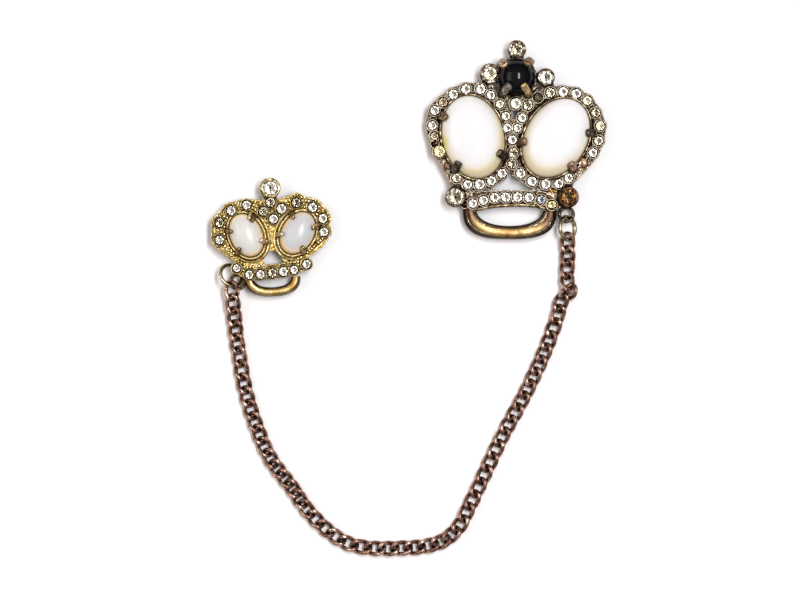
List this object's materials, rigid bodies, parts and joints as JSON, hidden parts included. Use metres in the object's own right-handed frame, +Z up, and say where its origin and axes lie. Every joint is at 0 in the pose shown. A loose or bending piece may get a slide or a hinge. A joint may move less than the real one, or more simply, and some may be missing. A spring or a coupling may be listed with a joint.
{
  "type": "chatelaine brooch",
  "caption": "Large and small crown brooches set with oval cabochons and round stones, joined by a curb chain.",
  "frame": {"origin": "middle of the whole piece's box, at the surface it lies on", "axes": "+Z up out of the stones' faces, +Y towards the crowns' tops"},
  "size_m": [0.0851, 0.1109, 0.0093],
  "materials": {
    "tarnished_white_metal": "plated white metal, worn and tarnished brown and rose",
    "gilt_brass": "gilt, dark in the hollows",
    "pin_brass": "dull brass",
    "ring_brass": "yellow brass, tarnished",
    "chain_brass": "copper brown, rubbed bright on top",
    "opaque_white_glass": "milky and polished",
    "moonstone_glass": "milky blue grey and polished",
    "black_glass": "polished",
    "cut_glass": "cut and foil backed",
    "amber_glass": "cut, foil partly lost"
  },
  "bodies": {
    "root": {"large_crown_frame": "tarnished_white_metal", "large_pin_back": "pin_brass", "large_left_oval": "opaque_white_glass", "large_right_oval": "opaque_white_glass", "black_cabochon": "black_glass", "crest_stone": "cut_glass", "left_shoulder_stone": "cut_glass", "right_shoulder_stone": "cut_glass", "left_band_stone": "cut_glass", "right_band_stone": "amber_glass", "large_pave_stones": "cut_glass", "large_jump_ring": "ring_brass", "chain": "chain_brass", "small_jump_ring": "ring_brass", "small_crown_frame": "gilt_brass", "small_pin_back": "pin_brass", "small_left_oval": "moonstone_glass", "small_right_oval": "moonstone_glass", "small_crest_stone": "cut_glass", "small_pave_stones": "cut_glass"}
  },
  "joints": []
}
